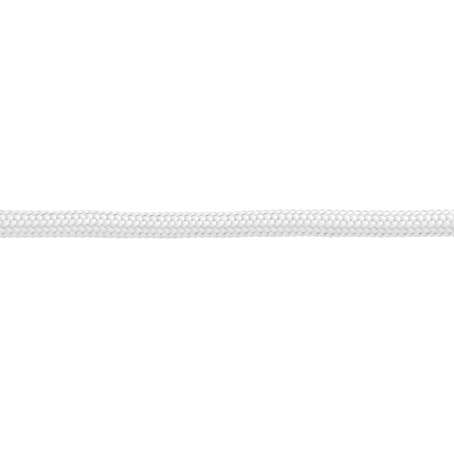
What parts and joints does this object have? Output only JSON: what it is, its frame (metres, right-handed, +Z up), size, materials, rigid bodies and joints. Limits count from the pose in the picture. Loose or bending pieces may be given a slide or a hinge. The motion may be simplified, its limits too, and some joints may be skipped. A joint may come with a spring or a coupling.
{
  "type": "cut length of braided paracord",
  "caption": "Straight cut length of white braided nylon cord, lying on its flattened underside, with both ends melted to blunt tips.",
  "frame": {"origin": "middle of the cord's length, on the surface that the cord lies on", "axes": "+X along the cord, +Y across it, +Z up from the surface"},
  "size_m": [0.08, 0.0044, 0.0034],
  "materials": {
    "white_nylon": "satin white braided nylon"
  },
  "bodies": {
    "root": {"braided_cord": "white_nylon"}
  },
  "joints": []
}
